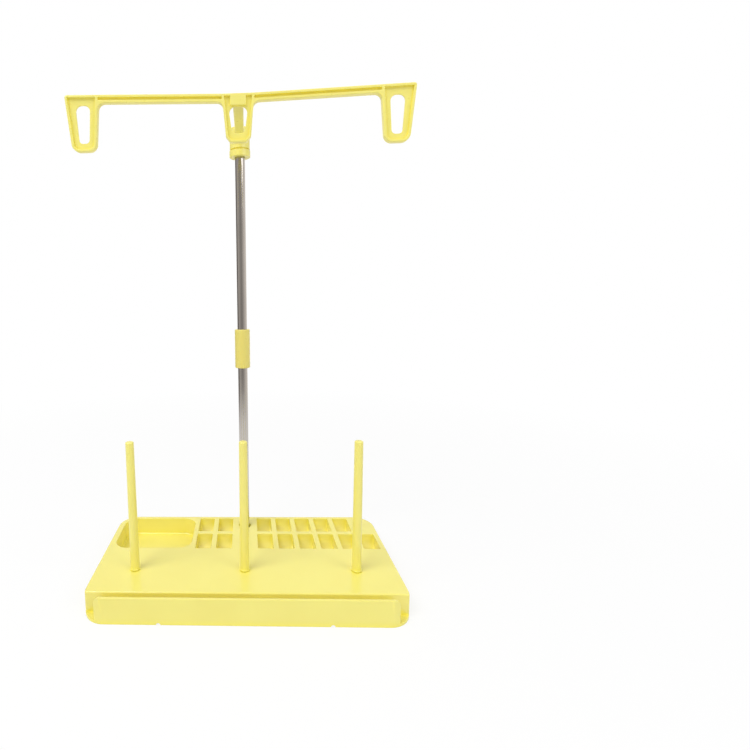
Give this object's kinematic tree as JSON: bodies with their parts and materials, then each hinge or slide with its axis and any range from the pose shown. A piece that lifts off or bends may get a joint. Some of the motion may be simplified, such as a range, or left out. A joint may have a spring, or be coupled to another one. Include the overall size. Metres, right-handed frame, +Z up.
{
  "type": "thread spool stand",
  "caption": "Free-standing thread stand: tray base with bobbin slots and an accessory tray, upright spool pins, and a tube mast that holds a guide bar of thread loops.",
  "frame": {"origin": "on the table, under the middle of the base", "axes": "+Z up along the mast; +Y toward the back, where the bobbin slots and the mast are; +X to the right when the stand is seen from its front"},
  "size_m": [0.215, 0.119, 0.3341],
  "materials": {
    "tray_plastic": "satin moulded, pale yellow",
    "pin_plastic": "satin moulded, pale yellow",
    "sleeve_plastic": "satin moulded, pale yellow",
    "guide_plastic": "satin moulded, pale yellow",
    "tube_steel": "polished drawn tube"
  },
  "bodies": {
    "base_tray": {"base_tray": "tray_plastic"},
    "spool_pin_left": {"spool_pin_left": "pin_plastic"},
    "spool_pin_middle": {"spool_pin_middle": "pin_plastic"},
    "spool_pin_right": {"spool_pin_right": "pin_plastic"},
    "coupling_sleeve": {"coupling_sleeve": "sleeve_plastic"},
    "mast_head": {"mast_head": "guide_plastic"},
    "guide_bar": {"guide_bar": "guide_plastic"},
    "lower_tube": {"lower_tube": "tube_steel"},
    "upper_tube": {"upper_tube": "tube_steel"}
  },
  "joints": [
    {"name": "left_pin_lift", "type": "slide", "parent": "base_tray", "child": "spool_pin_left", "axis": [0, 0, 1], "range_m": [0, 0.012]},
    {"name": "middle_pin_lift", "type": "slide", "parent": "base_tray", "child": "spool_pin_middle", "axis": [0, 0, 1], "range_m": [0, 0.012]},
    {"name": "right_pin_lift", "type": "slide", "parent": "base_tray", "child": "spool_pin_right", "axis": [0, 0, 1], "range_m": [0, 0.012]},
    {"name": "lower_tube_lift", "type": "slide", "parent": "base_tray", "child": "lower_tube", "axis": [0, 0, 1], "range_m": [0, 0.016]},
    {"name": "sleeve_lift", "type": "slide", "parent": "lower_tube", "child": "coupling_sleeve", "axis": [0, 0, 1], "range_m": [0, 0.018]},
    {"name": "upper_tube_lift", "type": "slide", "parent": "coupling_sleeve", "child": "upper_tube", "axis": [0, 0, 1], "range_m": [0, 0.018]},
    {"name": "head_turn", "type": "hinge", "parent": "upper_tube", "child": "mast_head", "pos_m": [0, 0.0437, 0.323], "axis": [0, 0, 1], "continuous": true},
    {"name": "guide_bar_pull", "type": "slide", "parent": "mast_head", "child": "guide_bar", "axis": [0, -1, 0], "range_m": [0, 0.012]}
  ]
}
